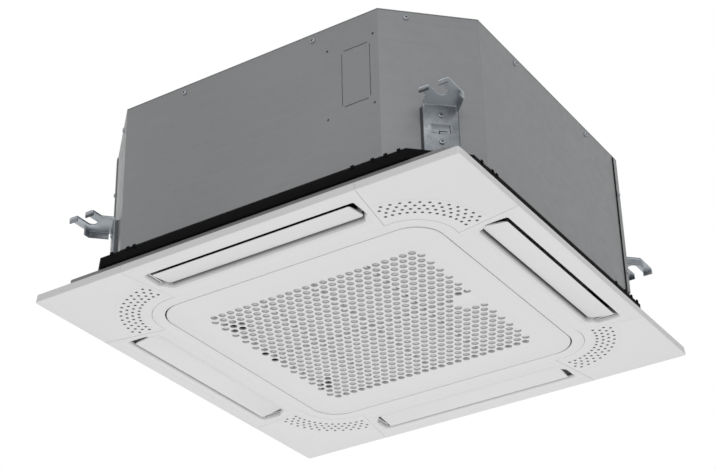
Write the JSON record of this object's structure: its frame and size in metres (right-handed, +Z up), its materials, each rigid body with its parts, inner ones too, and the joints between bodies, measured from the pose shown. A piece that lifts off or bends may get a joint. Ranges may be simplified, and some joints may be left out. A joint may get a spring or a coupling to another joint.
{
  "type": "ceiling cassette air conditioner",
  "caption": "Indoor unit for a suspended ceiling: galvanised eight-sided casing on hooked brackets, over a square white panel with a louvered outlet on each side and a perforated grille.",
  "frame": {"origin": "middle of the front panel's lower face", "axes": "+Z up into the ceiling, -Y towards the side with the knock-out, -X towards the pipes; the part is stored as it hangs"},
  "size_m": [0.62, 0.62, 0.265],
  "materials": {
    "galvanised_sheet": "zinc spangle, satin",
    "zinc_plate": "bright zinc plating",
    "white_plastic": "fine satin moulding",
    "grey_plastic": "matte moulding",
    "dark_plastic": "matte moulding",
    "pale_foam": "bead foam",
    "black_foam": "closed-cell foam, matte",
    "aluminium_fins": "close plate fins",
    "copper": "drawn copper tube, satin",
    "brass": "machined",
    "bright_steel": "bright",
    "black_steel": "black enamel",
    "black_rubber": "matte",
    "filter_net": "woven net in a moulded frame"
  },
  "bodies": {
    "unit": {"casing_front": "galvanised_sheet", "casing_rear": "galvanised_sheet", "top_plate": "galvanised_sheet", "tube_plate_side": "galvanised_sheet", "tube_plate_rear": "galvanised_sheet", "pipe_cover_plate": "galvanised_sheet", "motor_bracket": "galvanised_sheet", "control_box": "galvanised_sheet", "control_box_cover": "galvanised_sheet", "hanger_front_right": "zinc_plate", "hanger_front_left": "zinc_plate", "hanger_rear_right": "zinc_plate", "hanger_rear_left": "zinc_plate", "foam_liner": "pale_foam", "drain_pan": "pale_foam", "bell_mouth": "dark_plastic", "evaporator_coil": "aluminium_fins", "gas_pipe": "copper", "liquid_pipe": "copper", "gas_flare_nut": "brass", "liquid_flare_nut": "brass", "motor_mount_1": "black_rubber", "motor_mount_2": "black_rubber", "motor_mount_3": "black_rubber", "fan_motor": "black_steel", "drain_pump": "dark_plastic", "drain_outlet": "dark_plastic", "cable_gland": "dark_plastic", "float_switch_stem": "white_plastic", "terminal_block": "white_plastic", "panel_gasket": "black_foam", "panel_back_frame": "grey_plastic", "panel_frame": "white_plastic", "louver_motor_front": "dark_plastic", "louver_motor_right": "dark_plastic", "louver_motor_rear": "dark_plastic", "louver_motor_left": "dark_plastic", "hinge_pin_front": "bright_steel", "hinge_pin_rear": "bright_steel", "panel_screw_rear_right": "bright_steel", "panel_screw_rear_left": "bright_steel", "panel_screw_front_left": "bright_steel", "panel_screw_front_right": "bright_steel"},
    "fan": {"fan_impeller": "white_plastic", "fan_shaft": "bright_steel", "fan_nut": "bright_steel"},
    "water_float": {"float": "white_plastic"},
    "grille": {"return_grille": "white_plastic"},
    "filter": {"filter_frame": "grey_plastic", "filter_mesh": "filter_net"},
    "latch_front": {"grille_latch_front": "white_plastic"},
    "latch_rear": {"grille_latch_rear": "white_plastic"},
    "vane_front": {"louver_front": "white_plastic"},
    "vane_right": {"louver_right": "white_plastic"},
    "vane_rear": {"louver_rear": "white_plastic"},
    "vane_left": {"louver_left": "white_plastic"},
    "cover_rear_right": {"corner_cover_rear_right": "white_plastic"},
    "cover_rear_left": {"corner_cover_rear_left": "white_plastic"},
    "cover_front_left": {"corner_cover_front_left": "white_plastic"},
    "cover_front_right": {"corner_cover_front_right": "white_plastic"}
  },
  "joints": [
    {"name": "vane_swing_front", "type": "hinge", "parent": "unit", "child": "vane_front", "pos_m": [0, -0.251, 0.013], "axis": [1, 0, 0], "range_deg": [0, 45]},
    {"name": "vane_swing_right", "type": "hinge", "parent": "unit", "child": "vane_right", "pos_m": [0.251, 0, 0.013], "axis": [0, 1, 0], "range_deg": [0, 45]},
    {"name": "vane_swing_rear", "type": "hinge", "parent": "unit", "child": "vane_rear", "pos_m": [0, 0.251, 0.013], "axis": [-1, 0, 0], "range_deg": [0, 45]},
    {"name": "vane_swing_left", "type": "hinge", "parent": "unit", "child": "vane_left", "pos_m": [-0.251, 0, 0.013], "axis": [0, -1, 0], "range_deg": [0, 45]},
    {"name": "fan_spin", "type": "hinge", "parent": "unit", "child": "fan", "pos_m": [0, 0, 0.15], "axis": [0, 0, 1], "continuous": true},
    {"name": "float_rise", "type": "slide", "parent": "unit", "child": "water_float", "axis": [0, 0, 1], "range_m": [0, 0.009]},
    {"name": "grille_hinge", "type": "hinge", "parent": "unit", "child": "grille", "pos_m": [0.1676, 0, 0.0062], "axis": [0, -1, 0], "range_deg": [0, 80]},
    {"name": "filter_lift", "type": "slide", "parent": "grille", "child": "filter", "axis": [0, 0, 1], "range_m": [0, 0.01]},
    {"name": "latch_slide_front", "type": "slide", "parent": "grille", "child": "latch_front", "axis": [1, 0, 0], "range_m": [0, 0.008]},
    {"name": "latch_slide_rear", "type": "slide", "parent": "grille", "child": "latch_rear", "axis": [1, 0, 0], "range_m": [0, 0.008]},
    {"name": "cover_drop_rear_right", "type": "slide", "parent": "unit", "child": "cover_rear_right", "axis": [0, 0, -1], "range_m": [0, 0.03]},
    {"name": "cover_drop_rear_left", "type": "slide", "parent": "unit", "child": "cover_rear_left", "axis": [0, 0, -1], "range_m": [0, 0.03]},
    {"name": "cover_drop_front_left", "type": "slide", "parent": "unit", "child": "cover_front_left", "axis": [0, 0, -1], "range_m": [0, 0.03]},
    {"name": "cover_drop_front_right", "type": "slide", "parent": "unit", "child": "cover_front_right", "axis": [0, 0, -1], "range_m": [0, 0.03]}
  ]
}
